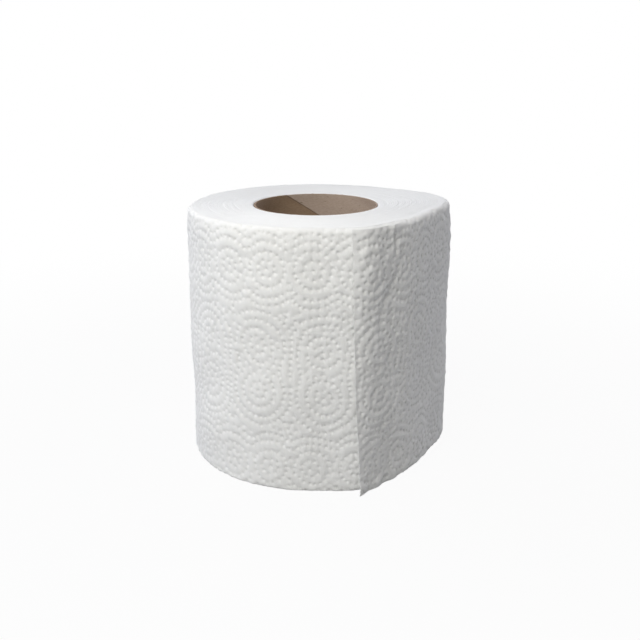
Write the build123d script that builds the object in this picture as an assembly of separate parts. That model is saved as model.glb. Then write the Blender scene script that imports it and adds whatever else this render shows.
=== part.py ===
from build123d import *
import math
import os

# A toilet paper roll that stands on end. Millimetres, +Z up. The origin is on the roll's
# axis at its base, and the loose tail of the paper is at the front right (the front is -Y).
# Angles are in degrees, counter-clockwise from +X as seen from above. The paper is wound
# so that each turn runs outwards as its angle falls, down to the tail.

# Cardboard core
core_bore_diameter = 45.0
core_wall = 0.6
core_clearance = 0.1         # between the core and the first turn of paper

# Helical butt joint of the core's inner ply
seam_lead = 91.0             # rise in one turn
seam_width = 0.5
seam_depth = 0.15
seam_top_angle = 121.7       # where the joint meets the top end

# Wound paper
sheet_width = 95.0           # width of the web, which is the height of the roll
roll_radius = 48.0           # where the roll is still round
rim_rounding = 1.5           # outer rims, pressed soft
mouth_bevel = 0.6            # soft edge of the paper around the core

# The soft roll is pressed flatter on its front right side, bulges beside that, and stands
# out a little in a crest beside the free edge of the tail
flat_depth = 3.0
flat_angle = -29.5
flat_half_width = 44.0
bulge_height = 5.0
bulge_angle = 17.5
bulge_half_width = 37.5
crest_height = 1.0
crest_angle = -80.0
crest_half_width = 30.0

# Turns that show as fine lines in both ends
turn_pitch = 3.4             # radial distance from line to line
turn_line_width = 0.3
turn_line_depth = 0.4
turn_margin = 1.2            # plain paper left inside the rim and the mouth

# Loose tail, tight at the top and straightened out at the bottom
web_thickness = 0.45
tail_gap = 0.3               # between the tail and the turn under it
tail_length = 21.4
tail_lift = 4.9              # how far the bottom corner stands off the roll
tail_root_angle = -50.0      # where the tail leaves the roll
tail_margin = 0.6            # height by which the tail stops short of both ends
tail_opening = 1.6           # power by which the tail opens down its height

core_bore_radius = core_bore_diameter / 2
core_outer_radius = core_bore_radius + core_wall
mouth_radius = core_outer_radius + core_clearance
tail_step = tail_gap + web_thickness


def polar(radius, angle, height=0.0):
    turned = math.radians(angle)
    return Vector(radius * math.cos(turned), radius * math.sin(turned), height)


def bell(angle, centre, half_width):
    # 1 at the centre, falling smoothly to 0 at half_width to either side
    offset = (angle - centre + 180.0) % 360.0 - 180.0
    if abs(offset) >= half_width:
        return 0.0
    return math.cos(math.radians(90.0 * offset / half_width)) ** 2


def pressed_radius(angle):
    # Outer radius of the roll, with its flattened side, its bulge and its crest
    flattened = flat_depth * bell(angle, flat_angle, flat_half_width)
    bulging = bulge_height * bell(angle, bulge_angle, bulge_half_width)
    crest = crest_height * bell(angle, crest_angle, crest_half_width)
    return roll_radius - flattened + bulging + crest


def outer_turn(travel):
    # Point of the outermost turn, after travel degrees inwards from the tail's root
    angle = tail_root_angle + travel
    return polar(pressed_radius(angle) - tail_step * travel / 360.0, angle)


def outline_section(height, inset):
    # One turn of the outline, closed by the step in which the tail ends
    samples = 24
    travels = [360.0 * i / samples for i in range(samples + 1)]
    points = [outer_turn(travel) for travel in travels]
    outline = Spline(*[point - point.normalized() * inset for point in points])
    root_step = Line(outline @ 1, outline @ 0)
    return Pos(0, 0, height) * make_face([outline, root_step])


def wound_body():
    # The rims curve in from the straight side to the flat ends
    bottom_rim = []
    top_rim = []
    for angle in (0, 30, 60, 90):
        turned = math.radians(angle)
        inset = rim_rounding * (1.0 - math.sin(turned))
        depth = rim_rounding * (1.0 - math.cos(turned))
        bottom_rim.append(outline_section(depth, inset))
        top_rim.insert(0, outline_section(sheet_width - depth, inset))
    body = loft(bottom_rim + top_rim, ruled=True)
    body -= Pos(0, 0, sheet_width / 2) * Cylinder(mouth_radius, sheet_width)
    mouths = body.edges().filter_by(GeomType.CIRCLE)
    return chamfer(mouths, mouth_bevel)


def turn_lines():
    # A ribbon that winds from beside the core to beside the rim, made in half turns
    innermost = mouth_radius + mouth_bevel + turn_margin
    outermost = roll_radius - rim_rounding - turn_margin
    half_turns = math.ceil(2.0 * (outermost - innermost) / turn_pitch)
    samples = 6

    def edge_point(half_turn, side):
        share = half_turn / half_turns
        angle = tail_root_angle + 180.0 * (half_turns - half_turn)
        round_radius = innermost + (outermost - innermost) * share
        # The turns follow the pressed outline, less and less towards the core
        pressing = (pressed_radius(angle) - roll_radius) * share
        return polar(round_radius + pressing + side * turn_line_width / 2, angle)

    ribbon = Sketch()
    for first in range(half_turns):
        along = [first + i / samples for i in range(samples + 1)]
        inner_edge = Spline(*[edge_point(place, -1) for place in along])
        outer_edge = Spline(*[edge_point(place, 1) for place in along])
        starting = Line(inner_edge @ 0, outer_edge @ 0)
        ending = Line(inner_edge @ 1, outer_edge @ 1)
        ribbon += make_face([inner_edge, outer_edge, starting, ending])
    return loft([ribbon, Pos(0, 0, turn_line_depth) * ribbon], ruled=True)


def tail_point(distance, offset, loose):
    # Point of the tail's section: distance along it from the root, offset outwards from
    # its inner face, and loose from 0 (wound tight) to 1 (straight on from the root)
    travel = 360.0 - math.degrees(distance / roll_radius)
    under = outer_turn(travel)
    tight = under + under.normalized() * (tail_gap + offset)
    root = outer_turn(360.0)
    root_radial = root.normalized()
    along = (outer_turn(359.0) - root).normalized()
    straight = root + root_radial * (tail_gap + offset) + along * distance
    return tight * (1.0 - loose) + straight * loose


def tail_section(height, loose):
    samples = 6
    distances = [tail_length * i / samples for i in range(samples + 1)]
    inner = [tail_point(d, 0.0, loose) for d in distances]
    outer = [tail_point(d, web_thickness, loose) for d in distances]
    wires = [
        Spline(*inner),
        Line(inner[-1], outer[-1]),
        Spline(*outer),
        Line(inner[0], outer[0]),
    ]
    return Pos(0, 0, height) * make_face(wires)


def loose_tail():
    tight_end = tail_point(tail_length, 0.0, 0.0)
    straight_end = tail_point(tail_length, 0.0, 1.0)
    loose_at_bottom = tail_lift / (straight_end - tight_end).length
    height = sheet_width - 2 * tail_margin
    sections = []
    for share in (0.0, 0.25, 0.5, 0.75, 1.0):
        loose = loose_at_bottom * (1.0 - share) ** tail_opening
        sections.append(tail_section(tail_margin + height * share, loose))
    return loft(sections)


def tissue_roll():
    lines = turn_lines()
    roll = wound_body() + loose_tail()
    roll -= lines
    roll -= Pos(0, 0, sheet_width - turn_line_depth) * lines
    return roll


def cardboard_core():
    tube = Cylinder(core_outer_radius, sheet_width) - Cylinder(core_bore_radius, sheet_width)
    tube = Pos(0, 0, sheet_width / 2) * tube
    # The seam's cutter runs past both ends, and is turned to meet the top at its angle
    overrun = 5.0
    path = Helix(seam_lead, sheet_width + 2 * overrun, core_bore_radius, center=(0, 0, -overrun))
    start = Plane(origin=path @ 0, x_dir=(1, 0, 0), z_dir=path % 0)
    cutter = sweep(start * Rectangle(2 * seam_depth, seam_width), path, is_frenet=True)
    turned_at_top = 360.0 * (sheet_width + overrun) / seam_lead
    return tube - Rot(0, 0, seam_top_angle - turned_at_top) * cutter


os.makedirs("parts", exist_ok=True)
export_step(tissue_roll(), "parts/tissue_roll.step")
export_step(cardboard_core(), "parts/cardboard_core.step")
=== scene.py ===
import math

import bpy
import numpy as np
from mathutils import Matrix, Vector
from mathutils.geometry import delaunay_2d_cdt
from mathutils.kdtree import KDTree


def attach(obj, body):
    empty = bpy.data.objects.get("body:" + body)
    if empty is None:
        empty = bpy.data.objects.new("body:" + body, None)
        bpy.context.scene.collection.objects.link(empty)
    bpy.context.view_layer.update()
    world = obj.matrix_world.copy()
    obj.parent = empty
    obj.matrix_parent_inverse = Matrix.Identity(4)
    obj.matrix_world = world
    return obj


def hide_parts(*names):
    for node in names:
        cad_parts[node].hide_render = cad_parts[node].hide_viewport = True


# A toilet paper roll standing on end, with its loose sheet at the front right.
# Lengths in the dictionaries are millimetres and angles are degrees, as in the part's own
# source. Meshes are turned into metres when they are made.

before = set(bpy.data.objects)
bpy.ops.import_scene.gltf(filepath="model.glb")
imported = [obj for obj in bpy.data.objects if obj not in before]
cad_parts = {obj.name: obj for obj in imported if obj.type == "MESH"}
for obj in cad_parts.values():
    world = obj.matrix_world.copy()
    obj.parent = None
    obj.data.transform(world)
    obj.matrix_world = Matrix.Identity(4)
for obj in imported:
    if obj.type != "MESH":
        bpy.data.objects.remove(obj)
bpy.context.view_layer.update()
scene = bpy.context.scene
mm = 0.001
print("frame loaded:", sorted(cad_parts))

# The roll's own measures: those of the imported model, but for a crest that is sharper and a
# little nearer to the tail's root
rollForm = {
    "height": 95.0,
    "radius": 48.0,
    "flatDepth": 3.0,            # pressed flatter at the front right
    "flatAngle": -29.5,
    "flatHalfWidth": 44.0,
    "bulgeHeight": 5.0,          # and bulging beside that
    "bulgeAngle": 17.5,
    "bulgeHalfWidth": 37.5,
    "crestHeight": 1.6,          # and standing out a little beside the tail's free edge
    "crestAngle": -71.5,
    "crestHalfWidth": 17.0,
    "sheetThickness": 0.45,
    "sheetGap": 0.3,             # air between the outer sheet and the turn under it
    "floorGap": 0.02,            # keeps the foot clear of the floor's own plane
    "tailRootAngle": -50.0,
    "mouthRadius": 23.2,
}
turnStep = rollForm["sheetThickness"] + rollForm["sheetGap"]


def bell(angle, centre, halfWidth):
    offset = (angle - centre + 180.0) % 360.0 - 180.0
    rounded = np.cos(np.radians(90.0 * offset / halfWidth)) ** 2
    return np.where(np.abs(offset) < halfWidth, rounded, 0.0)


def pressedRadius(angle):
    form = rollForm
    flattened = form["flatDepth"] * bell(angle, form["flatAngle"], form["flatHalfWidth"])
    bulging = form["bulgeHeight"] * bell(angle, form["bulgeAngle"], form["bulgeHalfWidth"])
    crest = form["crestHeight"] * bell(angle, form["crestAngle"], form["crestHalfWidth"])
    return form["radius"] - flattened + bulging + crest


def easeIn(share):
    share = np.clip(share, 0.0, 1.0)
    return share * share * (3.0 - 2.0 * share)


def softNoise(seed, wavelength, *coordinates):
    # Smooth random field of about unit height, from plane waves in mixed directions
    rng = np.random.default_rng(seed)
    waves = 26
    total = 0.0
    for _ in range(waves):
        heading = rng.normal(size=len(coordinates))
        heading = heading / np.linalg.norm(heading)
        pace = 2.0 * math.pi / (wavelength * rng.uniform(0.7, 1.5))
        phase = rng.uniform(0.0, 2.0 * math.pi)
        along = sum(part * axis for part, axis in zip(heading, coordinates))
        total = total + np.cos(along * pace + phase)
    return total / math.sqrt(waves / 2.0)


def makeMesh(name, points, faces, smoothAngle):
    mesh = bpy.data.meshes.new(name)
    mesh.from_pydata((np.asarray(points) * mm).tolist(), [], faces)
    mesh.validate()
    mesh.shade_smooth()
    mesh.set_sharp_from_angle(angle=math.radians(smoothAngle))
    piece = bpy.data.objects.new(name, mesh)
    scene.collection.objects.link(piece)
    return piece


def addSheetMap(piece, perVertex):
    # Own map in metres, so that the paper's grain follows the web
    layer = piece.data.uv_layers.new(name="sheetMap")
    corners = np.zeros(len(piece.data.loops), dtype=np.int32)
    piece.data.loops.foreach_get("vertex_index", corners)
    layer.data.foreach_set("uv", (perVertex[corners] * mm).astype(np.float32).ravel())


# The outermost turn with its loose tail, as one embossed sheet
sheetForm = {
    "tailLength": 21.4,
    "tailLift": 4.8,             # of the bottom corner, off the roll
    "tailOpening": 1.6,
    "tailMargin": 0.3,
    "tuckedTravel": 6.0,         # runs on this far under its own start
    "faceThickness": 0.62,       # with the pillows of its embossing
    "topRimRadius": 2.0,
    "bottomRimRadius": 1.2,      # the foot is pressed square by standing
    "rimTurn": 78.0,
    "rollsInBefore": 4.0,        # the rims start to roll in this far before the tail's root
    "rollsInOver": 11.0,
    "edgeThickness": 0.3,
    "freeEdgeThickness": 0.14,
    "dotPitch": 2.1,
    "dotRadius": 0.84,
    "dotDepth": 0.31,
    "dotClearance": 1.72,
    "columnPitch": 23.5,         # from one pair of rosettes to the next
    "firstColumn": 10.4,
    "rowPitch": 35.3,            # from a row of pairs to a row of single rosettes
    "pairRow": 44.6,             # height of the middle row of pairs
    "rowStagger": 0.6,           # every other pair stands this much above it or below it
    "rosetteOffset": 8.15,       # of each rosette in a pair
    "rosetteRings": ((0.0, 1), (3.0, 8), (6.1, 18)),
    "shellDistance": 9.5,
    "pillowHeight": 0.35,
    "pillowReach": 2.0,
    "unevenness": 0.06,
    "waveHeight": 0.20,
    "shoulderDepth": 0.8,       # the soft top leans in over its last millimetres
    "shoulderHeight": 9.0,
    "plainClearance": 2.1,       # of the plain dots between the lines of the pattern
    "plainDepth": 0.6,
    "warp": 0.30,                # how far the pattern is drawn out of true
    "sheetLength": 101.0,        # from one perforation to the next
    "slitLength": 1.4,
    "slitPitch": 2.2,
    "slitDepth": 0.22,
    "nibLength": 0.10,           # of the torn free edge, where the perforation gave way
    "seed": 7,
}
sheetEnd = sheetForm["tailLength"] + math.radians(360.0 + sheetForm["tuckedTravel"]) * rollForm["radius"]


def tailLooseness():
    # How much of the way from wound tight to straight the tail is at its bottom
    form = rollForm
    length = sheetForm["tailLength"]
    turned = math.degrees(length / form["radius"])
    endAngle = form["tailRootAngle"] - turned
    endRadius = float(pressedRadius(endAngle)) - turnStep * (1.0 - turned / 360.0)
    tight = polar(endRadius + form["sheetGap"], endAngle)
    root, radial, along = tailRoot()
    straight = root + radial * form["sheetGap"] + along * length
    return sheetForm["tailLift"] / float(np.linalg.norm(straight - tight))


def polar(radius, angle):
    turned = math.radians(angle)
    return np.array([radius * math.cos(turned), radius * math.sin(turned)])


def tailRoot():
    start = rollForm["tailRootAngle"]
    root = polar(float(pressedRadius(start)) - turnStep, start)
    beside = polar(float(pressedRadius(start - 1.0)) - turnStep * 359.0 / 360.0, start - 1.0)
    along = (beside - root) / np.linalg.norm(beside - root)
    return root, root / np.linalg.norm(root), along


def sheetPoints(u, v, lift):
    # u runs along the sheet from its free edge, v up its width, lift out of its outer face
    form = rollForm
    width = form["height"]
    length = sheetForm["tailLength"]
    travel = np.degrees((u - length) / form["radius"])
    angle = form["tailRootAngle"] + travel
    radius = pressedRadius(angle) - turnStep * travel / 360.0
    turned = np.radians(angle)

    # The wound part's rims roll in over the ends, and the tail's edges stay straight
    rolled = easeIn((u - length + sheetForm["rollsInBefore"]) / sheetForm["rollsInOver"])
    half = width / 2.0
    upper = v > half
    rimRadius = np.where(upper, sheetForm["topRimRadius"], sheetForm["bottomRimRadius"])
    rimTurn = math.radians(sheetForm["rimTurn"])
    fromEdge = np.minimum(v, width - v)
    bent = np.clip(rimTurn - fromEdge / rimRadius, 0.0, rimTurn) * rolled
    rimStart = rimTurn * rimRadius
    straightDepth = rimRadius + (fromEdge - rimStart) * (half - rimRadius) / (half - rimStart)
    rimDepth = rimRadius * (1.0 - np.sin(np.clip(rimTurn - fromEdge / rimRadius, 0.0, rimTurn)))
    woundDepth = np.where(fromEdge < rimStart, rimDepth, straightDepth)
    margin = sheetForm["tailMargin"]
    tailDepth = margin + fromEdge * (half - margin) / half
    depth = tailDepth + (woundDepth - tailDepth) * rolled
    side = np.where(upper, 1.0, -1.0)
    height = np.where(upper, width - depth, depth) + side * lift * np.sin(bent)
    height = np.maximum(height, form["floorGap"])
    overShoulder = np.clip(1.0 - (width - v) / sheetForm["shoulderHeight"], 0.0, 1.0)
    leaning = sheetForm["shoulderDepth"] * overShoulder ** 2
    reach = radius - leaning - rimRadius * (1.0 - np.cos(bent)) + lift * np.cos(bent)

    x = reach * np.cos(turned)
    y = reach * np.sin(turned)
    onTail = u < length
    root, radial, along = tailRoot()
    loose = tailLooseness() * (1.0 - np.clip(v / width, 0.0, 1.0)) ** sheetForm["tailOpening"]
    loose = np.where(onTail, loose, 0.0)
    away = length - u
    outwards = turnStep + lift - leaning
    straightX = root[0] + radial[0] * outwards + along[0] * away
    straightY = root[1] + radial[1] * outwards + along[1] * away
    x = x * (1.0 - loose) + straightX * loose
    y = y * (1.0 - loose) + straightY * loose
    return np.stack([x, y, height], axis=1)


def shellDistance(x, y, centres, blend):
    # Distance to the nearest centre, rounded off where two are as near
    nearness = sum(np.exp(-np.hypot(x - cx, y - cy) / blend) for cx, cy in centres)
    return -blend * np.log(nearness)


def pairShell(distance):
    # Closed line around a pair of rosettes, like a peanut's shell
    form = sheetForm
    centres = [(0.0, form["rosetteOffset"]), (0.0, -form["rosetteOffset"])]
    headings = np.linspace(0.0, 2.0 * math.pi, 361)[:-1]
    near = np.zeros_like(headings)
    far = np.full_like(headings, 40.0)
    for _ in range(40):
        middle = (near + far) / 2.0
        x, y = middle * np.cos(headings), middle * np.sin(headings)
        inside = shellDistance(x, y, centres, 3.0) < distance
        near = np.where(inside, middle, near)
        far = np.where(inside, far, middle)
    return np.stack([near * np.cos(headings), near * np.sin(headings)], axis=1)


def rowShell(pitch, length):
    # Wavy line over a row of single rosettes, from end to end of the sheet
    form = sheetForm
    across = np.linspace(0.0, length, 1200)
    centres = [(step * pitch, 0.0) for step in range(-2, int(length / pitch) + 4)]
    near = np.zeros_like(across)
    far = np.full_like(across, 40.0)
    for _ in range(40):
        middle = (near + far) / 2.0
        inside = shellDistance(across, middle, centres, 1.0) < form["shellDistance"]
        near = np.where(inside, middle, near)
        far = np.where(inside, far, middle)
    return np.stack([across, near], axis=1)


def dotsAlong(line, closed, pitch):
    if closed:
        line = np.vstack([line, line[:1]])
    steps = np.hypot(*np.diff(line, axis=0).T)
    reached = np.concatenate([[0.0], np.cumsum(steps)])
    count = max(2, int(round(reached[-1] / pitch)))
    places = np.linspace(0.0, reached[-1], count + 1)
    if closed:
        places = places[:-1]
    return np.stack([np.interp(places, reached, line[:, axis]) for axis in (0, 1)], axis=1)


def ringDots(radius, count, phase):
    turned = phase + np.arange(count) * 2.0 * math.pi / count
    return np.stack([radius * np.cos(turned), radius * np.sin(turned)], axis=1)


def embossedDots():
    # Rows of rosettes in upright pairs, between rows of single ones. A dotted shell runs
    # around each pair and along each single row, small rings fill the corners left, and
    # shallower dots the rest. Returns their places and depths.
    form = sheetForm
    rng = np.random.default_rng(form["seed"])
    pitch = form["columnPitch"]
    shell = pairShell(form["shellDistance"])
    arches = dotsAlong(pairShell(form["shellDistance"] + 2.9), True, form["dotPitch"])
    arches = arches[(np.abs(arches[:, 1]) > form["rosetteOffset"] + 3.5)]
    singlePitch = pitch * 2.0 / 3.0
    wave = rowShell(singlePitch, sheetEnd + 3.0 * pitch)
    wanted = []

    def addRosette(at):
        at = at + rng.uniform(-0.3, 0.3, size=2)
        size = rng.uniform(0.97, 1.04)
        for radius, count in form["rosetteRings"]:
            wanted.append((0, at + ringDots(radius * size, count, rng.uniform(0.0, 1.0))))

    columns = range(-1, int(sheetEnd / pitch) + 2)
    for column in columns:
        stagger = form["rowStagger"] if column % 2 else -form["rowStagger"]
        centre = np.array([form["firstColumn"] + column * pitch, form["pairRow"] + stagger])
        for offset in (-form["rosetteOffset"], form["rosetteOffset"]):
            addRosette(centre + np.array([0.0, offset]))
        wanted.append((1, centre + dotsAlong(shell, True, form["dotPitch"])))
        wanted.append((3, centre + arches))
        between = np.arange(-10.5, 10.6, form["dotPitch"])
        wanted.append((3, centre + np.stack([np.full(len(between), pitch / 2.0), between], axis=1)))
        for side in (-1.0, 1.0):
            corner = centre + np.array([pitch / 2.0, side * (form["rosetteOffset"] + 9.6)])
            wanted.append((4, corner + ringDots(2.0, 6, rng.uniform(0.0, 1.0))))
    for side in (-1.0, 1.0):
        rowStart = form["firstColumn"] - 1.5 * pitch
        row = np.array([rowStart, form["pairRow"] + side * form["rowPitch"]])
        for step in range(int((sheetEnd + 2.0 * pitch) / singlePitch) + 1):
            addRosette(row + np.array([step * singlePitch, 0.0]))
        for mirror in (-1.0, 1.0):
            for level, further in ((2, 0.0), (4, 2.9)):
                line = wave * np.array([1.0, mirror]) + np.array([0.0, mirror * further])
                wanted.append((level, row + dotsAlong(line, False, form["dotPitch"])))
    wanted.sort(key=lambda group: group[0])
    spread = np.vstack([dots for _, dots in wanted])
    warped = [softNoise(form["seed"] + 10 + axis, 16.0, spread[:, 0], spread[:, 1]) for axis in (0, 1)]
    spread = spread + form["warp"] * np.stack(warped, axis=1) + rng.normal(scale=0.08, size=spread.shape)
    margin = 0.95
    inside = (spread[:, 0] > margin) & (spread[:, 0] < sheetEnd - margin)
    inside &= (spread[:, 1] > margin) & (spread[:, 1] < rollForm["height"] - margin)
    for line in perforationLines():
        inside &= np.abs(spread[:, 0] - line) > 1.5
    drawn = keepApart(spread[inside], form["dotClearance"])
    plain = []
    for index, v in enumerate(np.arange(1.1, rollForm["height"] - 1.0, 0.9)):
        for u in np.arange(1.1 + (index % 2) * 0.5, sheetEnd - 1.0, 1.0):
            if all(abs(u - line) > 1.5 for line in perforationLines()):
                plain.append((u, v + 0.3 * math.sin(u * 0.55)))
    plain = keepApart(clearOf(np.array(plain), drawn, form["plainClearance"]), form["plainClearance"])
    depths = np.concatenate([np.ones(len(drawn)), np.full(len(plain), form["plainDepth"])])
    depths = depths * form["dotDepth"] * rng.uniform(0.75, 1.12, size=len(depths))
    return np.vstack([drawn, plain]), depths


def keepApart(points, clearance):
    kept = []
    cells = {}
    for x, y in points.tolist():
        cell = (int(x // clearance), int(y // clearance))
        clear = True
        for i in (-1, 0, 1):
            for j in (-1, 0, 1):
                for other in cells.get((cell[0] + i, cell[1] + j), ()):
                    if (other[0] - x) ** 2 + (other[1] - y) ** 2 < clearance ** 2:
                        clear = False
        if clear:
            kept.append((x, y))
            cells.setdefault(cell, []).append((x, y))
    return np.array(kept)


def perforationLines():
    lines = []
    line = sheetForm["sheetLength"]
    while line < sheetEnd - 40.0:
        lines.append(line)
        line += sheetForm["sheetLength"]
    return lines


def pillowTree(dots):
    tree = KDTree(len(dots))
    for index, (x, y) in enumerate(dots.tolist()):
        tree.insert((x, y, 0.0), index)
    tree.balance()
    return tree


def sheetRelief(u, v, tree):
    # The paper puffs up away from the dots, over the long waves of a roll that isn't round
    form = sheetForm
    away = np.array([tree.find((x, y, 0.0))[2] for x, y in zip(u.tolist(), v.tolist())])
    edge = np.minimum(v, rollForm["height"] - v)
    pillows = easeIn(away / form["pillowReach"]) * form["pillowHeight"] * easeIn(edge / 1.2)
    uneven = softNoise(form["seed"] + 1, 5.0, u, v) * form["unevenness"]
    waves = softNoise(form["seed"] + 2, 34.0, u, v) * form["waveHeight"]
    calm = easeIn(edge / 4.0) * 0.75 + 0.25
    return pillows + (uneven + waves) * calm + tailRelief(u, v)


def ridge(distance, width):
    return np.exp(-(distance / width) ** 2)


# Wrinkles of the loose tail. Places are its own: along it from the free edge, and height.
tailForm = {
    "stripFoot": 56.0,           # from here up a narrow strip beside the free edge stands off
    "stripWidth": 4.4,
    "stripHeight": 0.62,
    "earPlace": 16.9,            # turned-up point on the top edge
    "earHeight": 1.1,
    "gatherPlace": 17.5,         # folds that hang from the top edge around it
    "gatherPitch": 3.1,
    "gatherHeight": 0.28,
    "creaseHeights": [56.0, 60.0, 66.7, 74.0, 83.5],
    "creasePlaces": [10.4, 10.8, 11.2, 16.0, 22.6],
    "creaseDepth": 0.48,
    "fineHeight": 0.05,          # of the small creases all over it
    "wavePitch": 9.0,            # of the wavy lower edge
    "waveHeight": 0.35,
}


def tailRelief(u, v):
    form = tailForm
    top = rollForm["height"]
    foot = form["stripFoot"]
    fullTurn = 2.0 * math.pi
    onTail = easeIn((sheetForm["tailLength"] + 6.0 - u) / 8.0)
    share = np.clip((v - foot) / (top - foot), 0.0, 1.0)
    stripEdge = 0.6 + form["stripWidth"] * share
    raised = form["stripHeight"] * easeIn(share * 1.3)
    rising = np.clip(u / stripEdge, 0.0, 1.0)
    falling = ridge(np.maximum(u - stripEdge, 0.0), 9.0)
    strip = raised * rising * falling
    ear = form["earHeight"] * ridge(u - form["earPlace"], 1.2) * ridge(top - v, 2.2)
    folds = np.sin(u * fullTurn / form["gatherPitch"] + 0.8 * np.sin(v * 0.21))
    hanging = ridge(u - form["gatherPlace"], 4.6) * ridge(top - v, 14.0)
    gathers = form["gatherHeight"] * folds * hanging
    creaseAt = np.interp(v, form["creaseHeights"], form["creasePlaces"])
    lowest, highest = form["creaseHeights"][0], form["creaseHeights"][-1] + 2.5
    creaseEnds = easeIn((v - lowest) / 6.0) * easeIn((highest - v) / 4.0)
    crease = -form["creaseDepth"] * ridge(u - creaseAt, 1.2) * creaseEnds
    small = softNoise(sheetForm["seed"] + 3, 3.6, u - 0.5 * v, 0.3 * v)
    fine = form["fineHeight"] * small * easeIn(v / 6.0)
    waves = np.sin(u * fullTurn / form["wavePitch"] + 1.0)
    waving = form["waveHeight"] * waves * ridge(v, 7.0) * easeIn(u / 4.0)
    return onTail * (strip + ear + gathers + crease + fine + waving)


def sheetThicknessAt(u, v):
    edge = np.minimum(np.minimum(v, rollForm["height"] - v), np.minimum(u, sheetEnd - u))
    free = easeIn(u / 1.2)
    thin = sheetForm["edgeThickness"] * free + sheetForm["freeEdgeThickness"] * (1.0 - free)
    return thin + (sheetForm["faceThickness"] - thin) * easeIn(edge / 0.9)


def rectangleLoop(length, width, alongStep, acrossStep):
    along = np.linspace(0.0, length, int(round(length / alongStep)) + 1)
    across = np.linspace(0.0, width, int(round(width / acrossStep)) + 1)
    bottom = [(u, 0.0) for u in along[:-1]]
    far = [(length, v) for v in across[:-1]]
    top = [(u, width) for u in along[::-1][:-1]]
    near = [(0.0, v) for v in across[::-1][:-1]]
    return np.array(bottom + far + top + near)


def triangulated(points):
    result = delaunay_2d_cdt([Vector(point) for point in points.tolist()], [], [], 0, 1e-5, True)
    if len(result[0]) != len(points):
        raise RuntimeError("two points of the sheet fall together")
    faces = np.array(result[2])
    a, b, c = (points[faces[:, i]] for i in range(3))
    area = (b[:, 0] - a[:, 0]) * (c[:, 1] - a[:, 1]) - (b[:, 1] - a[:, 1]) * (c[:, 0] - a[:, 0])
    faces = faces[np.abs(area) > 1e-7]
    area = area[np.abs(area) > 1e-7]
    faces[area < 0.0] = faces[area < 0.0][:, ::-1]
    return faces


def makeOuterTurn():
    form = sheetForm
    width = rollForm["height"]
    rng = np.random.default_rng(form["seed"] + 5)
    rim = rectangleLoop(sheetEnd, width, 1.1, 0.55)
    dots, depths = embossedDots()
    tree = pillowTree(dots)

    points = [rim]
    sinks = [np.zeros(len(rim))]
    rings = ((0.0, 1), (0.43, 6), (0.95, 8))
    for share, count in rings:
        radius = form["dotRadius"] * share
        profile = 0.5 + 0.5 * math.cos(math.pi * min(1.0, share * 1.03))
        for step in range(count):
            heading = 2.0 * math.pi * (step + 0.25 * count % 1) / count
            offset = np.array([radius * math.cos(heading), radius * math.sin(heading)])
            points.append(dots + offset)
            sinks.append(depths * profile)

    # Perforation slits, as short narrow grooves across the web
    slits = []
    for line in perforationLines():
        for middle in np.arange(1.6, width - 1.6, form["slitPitch"]):
            slits.append((line, middle))
    slits = np.array(slits)
    halfSlit = form["slitLength"] / 2.0
    slitPoints = [(0.0, side, 0.0) for side in (-1.0, 1.0)]
    slitPoints += [(0.0, place, 1.0) for place in (-0.7, 0.0, 0.7)]
    slitPoints += [(side, place, 0.0) for side in (-0.2, 0.2) for place in (-0.6, 0.0, 0.6)]
    for across, along, sink in slitPoints:
        points.append(slits + np.array([across, along * halfSlit]))
        sinks.append(np.full(len(slits), sink * form["slitDepth"]))

    # Rows along the rolled rims, and a loose field of points between the dots
    fill = []
    rimRows = (0.42, 0.85, 1.3, 1.8, 2.35)
    for row in rimRows:
        for u in np.arange(0.6, sheetEnd - 0.4, 1.2):
            fill.append((u, row))
            fill.append((u, width - row))
    fineEnd = form["tailLength"] + 4.0
    for spacing, first, last in ((1.05, 0.7, fineEnd), (1.9, fineEnd + 1.0, sheetEnd - 0.5)):
        for index, v in enumerate(np.arange(3.0, width - 2.9, spacing * 0.87)):
            for u in np.arange(first + (index % 2) * spacing / 2.0, last, spacing):
                besideU = rng.uniform(-0.15, 0.15) * spacing
                besideV = rng.uniform(-0.15, 0.15) * spacing
                fill.append((u + besideU, v + besideV))
    fill = clearOf(np.array(fill), dots, form["dotRadius"] + 0.22)
    fill = clearOf(fill, slits, 0.95)
    points.append(fill)
    sinks.append(np.zeros(len(fill)))

    flat = np.vstack(points)
    sink = np.concatenate(sinks)
    outerFaces = triangulated(flat)

    # The torn free edge has small nibs
    nibs = np.zeros(len(flat))
    free = flat[:, 0] == 0.0
    heights = flat[free, 1]
    torn = np.sign(np.sin(heights * 2.0 * math.pi / form["slitPitch"]))
    nibs[free] = form["nibLength"] * torn + rng.normal(scale=0.05, size=free.sum())
    outerLift = sheetRelief(flat[:, 0], flat[:, 1], tree) - sink
    outer = sheetPoints(flat[:, 0] + nibs, flat[:, 1], outerLift)

    # The inner face follows the same waves without the dots
    innerFill = []
    for index, v in enumerate(np.arange(1.6, width - 1.4, 2.6)):
        for u in np.arange(1.5 + (index % 2) * 1.5, sheetEnd - 1.4, 3.0):
            innerFill.append((u, v))
    innerFlat = np.vstack([rim, np.array(innerFill)])
    innerNibs = np.concatenate([nibs[:len(rim)], np.zeros(len(innerFill))])
    innerU, innerV = innerFlat[:, 0], innerFlat[:, 1]
    innerLift = sheetRelief(innerU, innerV, tree) - sheetThicknessAt(innerU, innerV)
    inner = sheetPoints(innerU + innerNibs, innerV, innerLift)
    innerFaces = triangulated(innerFlat)[:, ::-1] + len(outer)

    faces = outerFaces.tolist() + innerFaces.tolist()
    count = len(rim)
    for index in range(count):
        after = (index + 1) % count
        faces.append((index, len(outer) + index, len(outer) + after, after))
    piece = makeMesh("outerTurn", np.vstack([outer, inner]), faces, 60.0)
    addSheetMap(piece, np.vstack([flat, innerFlat]))
    print("outer turn:", len(dots), "dots,", len(faces), "faces")
    return piece


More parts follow.
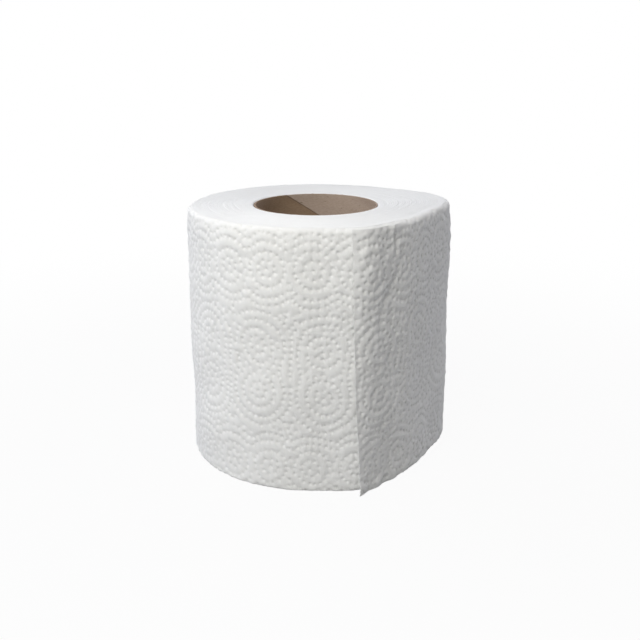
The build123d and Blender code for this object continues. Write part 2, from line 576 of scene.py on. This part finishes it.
def clearOf(points, obstacles, clearance):
    # Drops the points that lie within a clearance of any obstacle
    cells = {}
    for x, y in obstacles.tolist():
        cells.setdefault((int(x // clearance), int(y // clearance)), []).append((x, y))
    kept = []
    for x, y in points.tolist():
        cell = (int(x // clearance), int(y // clearance))
        clear = True
        for i in (-1, 0, 1):
            for j in (-1, 0, 1):
                for other in cells.get((cell[0] + i, cell[1] + j), ()):
                    if (other[0] - x) ** 2 + (other[1] - y) ** 2 < clearance ** 2:
                        clear = False
        if clear:
            kept.append((x, y))
    return np.array(kept)


# All the turns under the outermost one, as one body with a fine spiral in its ends
turnsForm = {
    "turns": 28,
    "rowsPerTurn": 6,
    "columns": 200,
    "firstTravel": 6.0,          # where the tucked end of the outer sheet stops
    "stepBlend": 2.6,            # the step is made up this far before it
    "lipRadius": 0.85,
    "spiralHeight": 0.045,
    "turnHeight": 0.06,          # single turns stand a little proud or sunk
    "unevenness": 0.12,
    "rimInset": 2.1,
    "wallInset": 1.45,
    "topInset": 1.27,            # share of the insets beside the top rim
    "footInset": 0.6,            # and beside the bottom one
    "seed": 31,
}


def makeWoundTurns():
    form = turnsForm
    columns = form["columns"]
    travel = form["firstTravel"] + np.arange(columns) * 360.0 / columns
    angle = rollForm["tailRootAngle"] + travel
    madeUp = easeIn((travel - form["firstTravel"] - 360.0 + form["stepBlend"]) / form["stepBlend"])
    step = turnStep * (travel / 360.0 - madeUp)
    outline = pressedRadius(angle) - step
    turned = np.radians(angle)
    mouth = rollForm["mouthRadius"]
    height = rollForm["height"]
    rng = np.random.default_rng(form["seed"])
    turnHeights = rng.normal(size=form["turns"] + 3)

    def endRings(top):
        # From the lip at the core out to the wall under the outer sheet
        share = form["topInset"] if top else form["footInset"]
        lip = form["lipRadius"]
        rings = []
        lipSteps = 5
        for index in range(lipSteps):
            turn = math.radians(90.0 * index / lipSteps)
            rings.append((mouth + lip * (1.0 - math.cos(turn)), -lip * (1.0 - math.sin(turn))))
        inner = mouth + lip
        outer = outline - form["rimInset"] * share
        count = form["turns"] * form["rowsPerTurn"]
        for along in np.linspace(0.0, 1.0, count + 1):
            phase = form["turns"] * along + travel / 360.0
            whole = np.floor(phase).astype(int)
            part = easeIn(phase - whole)
            single = turnHeights[whole] * (1.0 - part) + turnHeights[whole + 1] * part
            calm = easeIn(along * 8.0) * easeIn((1.0 - along) * 10.0)
            spiral = form["spiralHeight"] * np.cos(2.0 * math.pi * phase)
            proud = (spiral + form["turnHeight"] * single) * calm
            rings.append((inner + (outer - inner) * along, proud))
        for inset, depth in ((1.85, 0.02), (1.66, 0.06), (1.60, 0.42), (form["wallInset"], 1.1)):
            rings.append((outline - inset * share, -depth))
        return [endRing(np.broadcast_to(radius, columns), depth, top) for radius, depth in rings]

    def endRing(radius, depth, top):
        x = radius * np.cos(turned)
        y = radius * np.sin(turned)
        uneven = softNoise(form["seed"] + (1 if top else 2), 30.0, x, y) * form["unevenness"]
        fade = easeIn((outline - radius) / 6.0) * easeIn((radius - mouth) / 4.0)
        z = depth + uneven * fade
        return np.stack([x, y, height + z if top else np.maximum(-z, rollForm["floorGap"])], axis=1)

    def upright(radius, z):
        radius = np.broadcast_to(radius, columns)
        return np.stack([radius * np.cos(turned), radius * np.sin(turned), np.full(columns, z)], axis=1)

    wallHeights = (height * 0.75, height * 0.5, height * 0.25, 3.5)
    wallRings = [upright(outline - form["wallInset"], z) for z in wallHeights]
    boreRings = [upright(mouth, height * share) for share in (0.25, 0.5, 0.75)]
    loops = endRings(True) + wallRings + endRings(False)[::-1] + boreRings
    points = np.vstack(loops)
    faces = []
    for ring in range(len(loops)):
        after = (ring + 1) % len(loops)
        for column in range(columns):
            beside = (column + 1) % columns
            faces.append((ring * columns + column, after * columns + column,
                          after * columns + beside, ring * columns + beside))
    piece = makeMesh("woundTurns", points, faces, 60.0)
    print("wound turns:", len(faces), "faces")
    return piece


# The cardboard tube, rolled from a strip whose butt joint runs up the bore as a helix
coreForm = {
    "boreRadius": 22.5,
    "outerRadius": 23.1,
    "lead": 91.0,
    "seamTopAngle": 121.7,
    "seamWidth": 0.5,
    "seamDepth": 0.15,
    "recess": 0.15,              # its cut ends stand this far inside the paper's ends
    "roughness": 0.07,
    "waviness": 0.09,
    "rows": 70,
    "seed": 51,
}


def makeCoreTube():
    form = coreForm
    height = rollForm["height"]
    bore = form["boreRadius"]
    halfSeam = form["seamWidth"] / 2.0
    near = [-1.0, -0.45, -halfSeam, -halfSeam * 0.5, 0.0, halfSeam * 0.5, halfSeam, 0.45, 1.0]
    around = 2.0 * math.pi * bore
    plain = np.linspace(2.0, around - 2.0, 140)
    places = np.concatenate([np.array(near[4:]), plain, np.array(near[:4]) + around])
    fromSeam = np.minimum(places, around - places)
    groove = np.clip((halfSeam - fromSeam) / (halfSeam * 0.5), 0.0, 1.0) * form["seamDepth"]
    lapped = np.where(places < around / 2.0, ridge(fromSeam - 0.45, 0.5), 0.0) * 0.05
    columns = len(places)

    def ring(radius, z, extra):
        turned = np.radians(form["seamTopAngle"] + 360.0 * (z - height) / form["lead"]) + places / bore
        x = np.cos(turned)
        y = np.sin(turned)
        heights = np.broadcast_to(z, x.shape)
        wavy = softNoise(form["seed"], 26.0, x * bore, y * bore, heights) * form["waviness"]
        wall = form["outerRadius"] - bore
        reach = radius + extra + wavy * np.clip((form["outerRadius"] - radius) / wall, 0.0, 1.0)
        return np.stack([reach * x, reach * y, heights], axis=1)

    rng = np.random.default_rng(form["seed"] + 1)
    roughTop = np.abs(rng.normal(size=columns)) * form["roughness"]
    roughBottom = np.abs(rng.normal(size=columns)) * form["roughness"]
    loops = []
    innerHeights = np.linspace(height - form["recess"] - 0.12, form["recess"] + 0.12, form["rows"])
    outerHeights = innerHeights[::-1]
    for z in innerHeights:
        loops.append(ring(bore, z, groove - lapped))
    for radius in (bore + 0.15, form["outerRadius"] - 0.15):
        loops.append(ring(radius, form["recess"] + roughBottom * (0.6 + radius % 1), groove * 0.4))
    for z in outerHeights:
        loops.append(ring(form["outerRadius"], z, 0.0))
    for radius in (form["outerRadius"] - 0.15, bore + 0.15):
        loops.append(ring(radius, height - form["recess"] - roughTop * (0.6 + radius % 1), groove * 0.4))
    points = np.vstack(loops)
    faces = []
    for index in range(len(loops)):
        after = (index + 1) % len(loops)
        for column in range(columns):
            beside = (column + 1) % columns
            faces.append((index * columns + column, index * columns + beside,
                          after * columns + beside, after * columns + column))
    piece = makeMesh("coreTube", points, faces, 50.0)
    # Map: across the strip from its joint, and along the tube
    heights = points[:, 2]
    across = np.tile(places, len(loops))
    addSheetMap(piece, np.stack([across, heights], axis=1))
    print("core tube:", len(faces), "faces")
    return piece


def newMaterial(name):
    material = bpy.data.materials.new(name)
    material.use_nodes = True
    nodes = material.node_tree.nodes
    return material, nodes, material.node_tree.links, nodes["Principled BSDF"]


def makeFibreGroup():
    # Fine grain shared by paper and board: a cloudy tint and a height for bump
    group = bpy.data.node_groups.new("fibreGrain", "ShaderNodeTree")
    face = group.interface
    face.new_socket("Vector", in_out="INPUT", socket_type="NodeSocketVector")
    face.new_socket("Scale", in_out="INPUT", socket_type="NodeSocketFloat").default_value = 1.0
    face.new_socket("Clouds", in_out="OUTPUT", socket_type="NodeSocketFloat")
    face.new_socket("Grain", in_out="OUTPUT", socket_type="NodeSocketFloat")
    nodes, links = group.nodes, group.links
    entry = nodes.new("NodeGroupInput")
    leave = nodes.new("NodeGroupOutput")
    scaled = nodes.new("ShaderNodeVectorMath")
    scaled.operation = "SCALE"
    links.new(entry.outputs["Vector"], scaled.inputs[0])
    links.new(entry.outputs["Scale"], scaled.inputs["Scale"])
    clouds = nodes.new("ShaderNodeTexNoise")
    clouds.inputs["Scale"].default_value = 120.0
    clouds.inputs["Detail"].default_value = 4.0
    grain = nodes.new("ShaderNodeTexNoise")
    grain.inputs["Scale"].default_value = 2600.0
    grain.inputs["Detail"].default_value = 3.0
    for texture, name in ((clouds, "Clouds"), (grain, "Grain")):
        links.new(scaled.outputs[0], texture.inputs["Vector"])
        links.new(texture.outputs["Fac"], leave.inputs[name])
    return group


def placeGroup(nodes, group, scale):
    node = nodes.new("ShaderNodeGroup")
    node.node_tree = group
    node.inputs["Scale"].default_value = scale
    return node


def tintRamp(nodes, links, value, dark, light):
    ramp = nodes.new("ShaderNodeValToRGB")
    ramp.color_ramp.elements[0].position = 0.3
    ramp.color_ramp.elements[0].color = (*dark, 1.0)
    ramp.color_ramp.elements[1].position = 0.7
    ramp.color_ramp.elements[1].color = (*light, 1.0)
    links.new(value, ramp.inputs["Fac"])
    return ramp


tissueLook = {
    "dark": (0.862, 0.861, 0.858),
    "light": (0.895, 0.895, 0.896),
    "roughness": 0.95,
    "crepeStrength": 0.35,
    "crepeDepth": 0.00006,
    # painted shade of the loose tail
    "tailPaintedShadeTint": (0.94, 0.94, 0.94),
    "translucence": 0.3,
    "lightDepth": 0.0007,        # metres that light goes on inside the paper
}


def makeTissue(fibres):
    look = tissueLook
    material, nodes, links, shader = newMaterial("embossedTissue")
    place = nodes.new("ShaderNodeUVMap")
    place.uv_map = "sheetMap"
    stretch = nodes.new("ShaderNodeMapping")
    stretch.inputs["Scale"].default_value = (1.0, 0.35, 1.0)     # crepe lines run up the web
    links.new(place.outputs["UV"], stretch.inputs["Vector"])
    grain = placeGroup(nodes, fibres, 1.0)
    links.new(stretch.outputs["Vector"], grain.inputs["Vector"])
    ramp = tintRamp(nodes, links, grain.outputs["Clouds"], look["dark"], look["light"])

    # Painted shade: the loose tail, a single sheet with air behind it, is tinted darker than the roll,
    # for the light that a stack behind it would send back
    split = nodes.new("ShaderNodeSeparateXYZ")
    links.new(place.outputs["UV"], split.inputs[0])
    single = nodes.new("ShaderNodeMapRange")
    single.interpolation_type = "SMOOTHSTEP"
    single.inputs["From Min"].default_value = sheetForm["tailLength"] * 1.1 * mm
    single.inputs["From Max"].default_value = sheetForm["tailLength"] * 0.6 * mm
    links.new(split.outputs["X"], single.inputs["Value"])
    tailPaintedShade = nodes.new("ShaderNodeMix")
    tailPaintedShade.data_type = "RGBA"
    tailPaintedShade.blend_type = "MULTIPLY"
    tailPaintedShade.inputs[7].default_value = (*look["tailPaintedShadeTint"], 1.0)
    links.new(single.outputs["Result"], tailPaintedShade.inputs[0])
    links.new(ramp.outputs["Color"], tailPaintedShade.inputs[6])
    links.new(tailPaintedShade.outputs[2], shader.inputs["Base Color"])
    bump = nodes.new("ShaderNodeBump")
    bump.inputs["Strength"].default_value = look["crepeStrength"]
    bump.inputs["Distance"].default_value = look["crepeDepth"]
    links.new(grain.outputs["Grain"], bump.inputs["Height"])
    links.new(bump.outputs["Normal"], shader.inputs["Normal"])
    shader.inputs["Roughness"].default_value = look["roughness"]
    shader.inputs["Specular IOR Level"].default_value = 0.15
    shader.inputs["Subsurface Weight"].default_value = look["translucence"]
    shader.inputs["Subsurface Radius"].default_value = (1.0, 1.0, 1.0)
    shader.inputs["Subsurface Scale"].default_value = look["lightDepth"]
    return material


cutLook = {
    "dark": (0.872, 0.874, 0.880),
    "light": (0.905, 0.907, 0.913),
    "turnScale": 5200.0,
    "alongScale": 260.0,
    "bumpDepth": 0.00012,
}


def makeCutEdges(fibres):
    # The ends of the roll: thousands of sheet edges, as grain drawn out along the turns
    look = cutLook
    material, nodes, links, shader = newMaterial("cutTissueEdges")
    place = nodes.new("ShaderNodeTexCoord")
    split = nodes.new("ShaderNodeSeparateXYZ")
    links.new(place.outputs["Object"], split.inputs[0])
    flat = nodes.new("ShaderNodeCombineXYZ")
    links.new(split.outputs["X"], flat.inputs["X"])
    links.new(split.outputs["Y"], flat.inputs["Y"])
    radius = nodes.new("ShaderNodeVectorMath")
    radius.operation = "LENGTH"
    links.new(flat.outputs[0], radius.inputs[0])
    drawn = nodes.new("ShaderNodeCombineXYZ")
    for axis in ("X", "Y"):
        scaled = nodes.new("ShaderNodeMath")
        scaled.operation = "MULTIPLY"
        scaled.inputs[1].default_value = look["alongScale"]
        links.new(split.outputs[axis], scaled.inputs[0])
        links.new(scaled.outputs[0], drawn.inputs[axis])
    across = nodes.new("ShaderNodeMath")
    across.operation = "MULTIPLY"
    across.inputs[1].default_value = look["turnScale"]
    links.new(radius.outputs["Value"], across.inputs[0])
    links.new(across.outputs[0], drawn.inputs["Z"])
    turns = nodes.new("ShaderNodeTexNoise")
    turns.inputs["Scale"].default_value = 1.0
    turns.inputs["Detail"].default_value = 3.0
    links.new(drawn.outputs[0], turns.inputs["Vector"])
    fuzz = placeGroup(nodes, fibres, 1.0)
    links.new(place.outputs["Object"], fuzz.inputs["Vector"])
    ramp = tintRamp(nodes, links, turns.outputs["Fac"], look["dark"], look["light"])
    links.new(ramp.outputs["Color"], shader.inputs["Base Color"])
    both = nodes.new("ShaderNodeMath")
    both.operation = "ADD"
    links.new(turns.outputs["Fac"], both.inputs[0])
    links.new(fuzz.outputs["Grain"], both.inputs[1])
    bump = nodes.new("ShaderNodeBump")
    bump.inputs["Strength"].default_value = 0.4
    bump.inputs["Distance"].default_value = look["bumpDepth"]
    links.new(both.outputs[0], bump.inputs["Height"])
    links.new(bump.outputs["Normal"], shader.inputs["Normal"])
    shader.inputs["Roughness"].default_value = 0.95
    shader.inputs["Specular IOR Level"].default_value = 0.15
    return material


boardLook = {
    "paintedShadeDark": (0.215, 0.140, 0.088),      # painted shade: the board on the bore's shaded side
    "paintedShadeLight": (0.350, 0.252, 0.172),
    "paintedLitDark": (0.375, 0.290, 0.238),      # painted light: the board on the bore's lit side
    "paintedLitLight": (0.560, 0.455, 0.390),
    "joint": (0.16, 0.11, 0.075),
    "jointHalfWidth": 0.00030,
    "fleck": (0.19, 0.14, 0.10),
    "bumpDepth": 0.00008,
}


def makeBoard(fibres):
    # Grey-brown recycled board: mottled, lightly flecked, dark in its joint, with painted shade and
    # light running across the strip from its joint
    look = boardLook
    material, nodes, links, shader = newMaterial("greyBoard")
    around = 2.0 * math.pi * coreForm["boreRadius"] * mm
    place = nodes.new("ShaderNodeUVMap")
    place.uv_map = "sheetMap"
    stretch = nodes.new("ShaderNodeMapping")
    stretch.inputs["Scale"].default_value = (0.4, 1.0, 1.0)
    links.new(place.outputs["UV"], stretch.inputs["Vector"])
    grain = placeGroup(nodes, fibres, 1.0)
    links.new(stretch.outputs["Vector"], grain.inputs["Vector"])
    mottled = nodes.new("ShaderNodeMix")
    mottled.inputs[0].default_value = 0.5
    links.new(grain.outputs["Grain"], mottled.inputs[2])
    links.new(grain.outputs["Clouds"], mottled.inputs[3])
    shade = tintRamp(nodes, links, mottled.outputs[0], look["paintedShadeDark"], look["paintedShadeLight"])
    light = tintRamp(nodes, links, mottled.outputs[0], look["paintedLitDark"], look["paintedLitLight"])

    # Painted shade and light: from the shaded colour at one side of the joint to the lit colour at its
    # other side
    split = nodes.new("ShaderNodeSeparateXYZ")
    links.new(place.outputs["UV"], split.inputs[0])
    across = nodes.new("ShaderNodeMapRange")
    across.inputs["From Max"].default_value = around
    links.new(split.outputs["X"], across.inputs["Value"])
    paintedShadeColour, paintedLitColour = shade.outputs["Color"], light.outputs["Color"]
    board = mixColour(nodes, links, across.outputs["Result"], paintedShadeColour, paintedLitColour)

    flecks = nodes.new("ShaderNodeTexNoise")
    flecks.inputs["Scale"].default_value = 900.0
    flecks.inputs["Detail"].default_value = 1.0
    links.new(stretch.outputs["Vector"], flecks.inputs["Vector"])
    few = nodes.new("ShaderNodeMapRange")
    few.inputs["From Min"].default_value = 0.71
    few.inputs["From Max"].default_value = 0.77
    links.new(flecks.outputs["Fac"], few.inputs["Value"])
    flecked = mixColour(nodes, links, few.outputs["Result"], board, (*look["fleck"], 1.0))

    fromJoint = nodes.new("ShaderNodeMath")
    fromJoint.operation = "PINGPONG"
    fromJoint.inputs[1].default_value = around / 2.0
    links.new(split.outputs["X"], fromJoint.inputs[0])
    joint = nodes.new("ShaderNodeMapRange")
    joint.inputs["From Min"].default_value = look["jointHalfWidth"] * 1.6
    joint.inputs["From Max"].default_value = look["jointHalfWidth"] * 0.6
    links.new(fromJoint.outputs[0], joint.inputs["Value"])
    jointed = mixColour(nodes, links, joint.outputs["Result"], flecked, (*look["joint"], 1.0))
    links.new(jointed, shader.inputs["Base Color"])

    bump = nodes.new("ShaderNodeBump")
    bump.inputs["Strength"].default_value = 0.5
    bump.inputs["Distance"].default_value = look["bumpDepth"]
    links.new(grain.outputs["Grain"], bump.inputs["Height"])
    links.new(bump.outputs["Normal"], shader.inputs["Normal"])
    shader.inputs["Roughness"].default_value = 0.8
    shader.inputs["Specular IOR Level"].default_value = 0.25
    return material


def mixColour(nodes, links, share, under, over):
    mixed = nodes.new("ShaderNodeMix")
    mixed.data_type = "RGBA"
    links.new(share, mixed.inputs[0])
    links.new(under, mixed.inputs[6])
    if isinstance(over, tuple):
        mixed.inputs[7].default_value = over
    else:
        links.new(over, mixed.inputs[7])
    return mixed.outputs[2]


fibreGrain = makeFibreGroup()
outerTurn = makeOuterTurn()
outerTurn.data.materials.append(makeTissue(fibreGrain))
woundTurns = makeWoundTurns()
woundTurns.data.materials.append(makeCutEdges(fibreGrain))
coreTube = makeCoreTube()
coreTube.data.materials.append(makeBoard(fibreGrain))

for piece, node, slotName in (
    (outerTurn, "tissue_roll", "tissue"),
    (woundTurns, "tissue_roll", "tissue"),
    (coreTube, "cardboard_core", "core_board"),
):
    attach(piece, "root")
    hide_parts(node)

# Floor and studio
studio = {
    "floorSize": 6.0,
    "floorColour": (0.60, 0.60, 0.61),
    "whiteBeside": 0.94,         # how much of the floor that the camera sees is plain white,
    "whiteFrom": 0.06,           # beside the roll, and from there rising to all of it
    "whiteTo": 0.40,
    "ambient": 0.09,
    "ambientColour": (1.0, 1.0, 0.97),
    "aim": (0.0, 0.0, 0.045),
}
lamps = {
    # azimuth, elevation, distance and size in metres, power in watts, colour
    "key": (-118.0, 46.0, 0.55, 0.31, 1.485, (0.995, 1.0, 0.96)),
    "front": (-98.0, 49.0, 0.30, 0.16, 0.18, (1.0, 0.98, 0.86)),
    "top": (-90.0, 84.0, 0.7, 0.5, 0.60, (0.75, 0.73, 1.0)),
    "backLeft": (125.0, 35.0, 1.2, 0.8, 3.4, (0.88, 0.94, 1.0)),
    "backRight": (78.0, 8.0, 1.2, 0.3, 1.8, (0.92, 0.94, 1.0)),
    "right": (40.0, 12.0, 1.2, 0.5, 4.4, (0.95, 0.96, 1.0)),
    "left": (172.0, 15.0, 0.9, 0.5, 1.9, (0.88, 0.90, 1.0)),
}


def makeFloor():
    half = studio["floorSize"] / 2.0
    mesh = bpy.data.meshes.new("floor")
    corners = [(-half, -half, 0.0), (half, -half, 0.0), (half, half, 0.0), (-half, half, 0.0)]
    mesh.from_pydata(corners, [], [(0, 1, 2, 3)])
    floor = bpy.data.objects.new("floor", mesh)
    scene.collection.objects.link(floor)
    material, nodes, links, shader = newMaterial("paleFloor")
    shader.inputs["Base Color"].default_value = (*studio["floorColour"], 1.0)
    shader.inputs["Roughness"].default_value = 1.0
    shader.inputs["Specular IOR Level"].default_value = 0.0
    white = nodes.new("ShaderNodeEmission")
    white.inputs["Strength"].default_value = 1.0
    seen = nodes.new("ShaderNodeLightPath")
    place = nodes.new("ShaderNodeTexCoord")
    away = nodes.new("ShaderNodeVectorMath")
    away.operation = "LENGTH"
    links.new(place.outputs["Object"], away.inputs[0])
    whiter = nodes.new("ShaderNodeMapRange")
    whiter.interpolation_type = "SMOOTHSTEP"
    whiter.inputs["From Min"].default_value = studio["whiteFrom"]
    whiter.inputs["From Max"].default_value = studio["whiteTo"]
    whiter.inputs["To Min"].default_value = studio["whiteBeside"]
    whiter.inputs["To Max"].default_value = 1.0
    links.new(away.outputs["Value"], whiter.inputs["Value"])
    share = nodes.new("ShaderNodeMath")
    share.operation = "MULTIPLY"
    links.new(whiter.outputs["Result"], share.inputs[1])
    links.new(seenByCamera(nodes, links, seen), share.inputs[0])
    mixed = nodes.new("ShaderNodeMixShader")
    links.new(share.outputs[0], mixed.inputs[0])
    links.new(shader.outputs[0], mixed.inputs[1])
    links.new(white.outputs[0], mixed.inputs[2])
    links.new(mixed.outputs[0], nodes["Material Output"].inputs["Surface"])
    floor.data.materials.append(material)


def seenByCamera(nodes, links, seen):
    # 1 for rays from the camera and for what gloss or glass would show
    total = seen.outputs["Is Camera Ray"]
    for name in ("Is Glossy Ray", "Is Transmission Ray"):
        added = nodes.new("ShaderNodeMath")
        added.operation = "ADD"
        added.use_clamp = True
        links.new(total, added.inputs[0])
        links.new(seen.outputs[name], added.inputs[1])
        total = added.outputs[0]
    return total


def makeWorld():
    world = bpy.data.worlds.new("studioAir")
    scene.world = world
    world.use_nodes = True
    nodes, links = world.node_tree.nodes, world.node_tree.links
    air = nodes["Background"]
    air.inputs["Color"].default_value = (*studio["ambientColour"], 1.0)
    air.inputs["Strength"].default_value = studio["ambient"]
    backdrop = nodes.new("ShaderNodeBackground")
    backdrop.inputs["Color"].default_value = (1.0, 1.0, 1.0, 1.0)
    backdrop.inputs["Strength"].default_value = 1.0
    seen = nodes.new("ShaderNodeLightPath")
    mixed = nodes.new("ShaderNodeMixShader")
    links.new(seenByCamera(nodes, links, seen), mixed.inputs[0])
    links.new(air.outputs[0], mixed.inputs[1])
    links.new(backdrop.outputs[0], mixed.inputs[2])
    links.new(mixed.outputs[0], nodes["World Output"].inputs["Surface"])


def addLamp(name, azimuth, elevation, distance, size, power, colour):
    light = bpy.data.lights.new(name, "AREA")
    light.shape = "SQUARE"
    light.size = size
    light.energy = power
    light.color = colour
    lamp = bpy.data.objects.new(name, light)
    scene.collection.objects.link(lamp)
    aim = Vector(studio["aim"])
    turned, raised = math.radians(azimuth), math.radians(elevation)
    level = math.cos(raised)
    away = Vector((math.cos(turned) * level, math.sin(turned) * level, math.sin(raised)))
    lamp.location = aim + away * distance
    lamp.rotation_euler = away.to_track_quat("Z", "Y").to_euler()


# The photo's own viewpoint, worked out from the roll's outline
cameraPlace = {
    "location": (1.6, -355.7, 158.3),
    "pitch": 17.02,
    "lens": 54.0,
}


def makeCamera():
    view = bpy.data.cameras.new("photoView")
    view.sensor_fit = "HORIZONTAL"
    view.sensor_width = 36.0
    view.lens = cameraPlace["lens"]
    view.clip_start = 0.01
    camera = bpy.data.objects.new("photoView", view)
    scene.collection.objects.link(camera)
    camera.location = Vector(cameraPlace["location"]) * mm
    camera.rotation_euler = (math.radians(90.0 - cameraPlace["pitch"]), 0.0, 0.0)
    scene.camera = camera


makeFloor()
makeWorld()
for name, settings in lamps.items():
    addLamp(name, *settings)
makeCamera()
scene.view_settings.view_transform = "Standard"
print("studio ready")
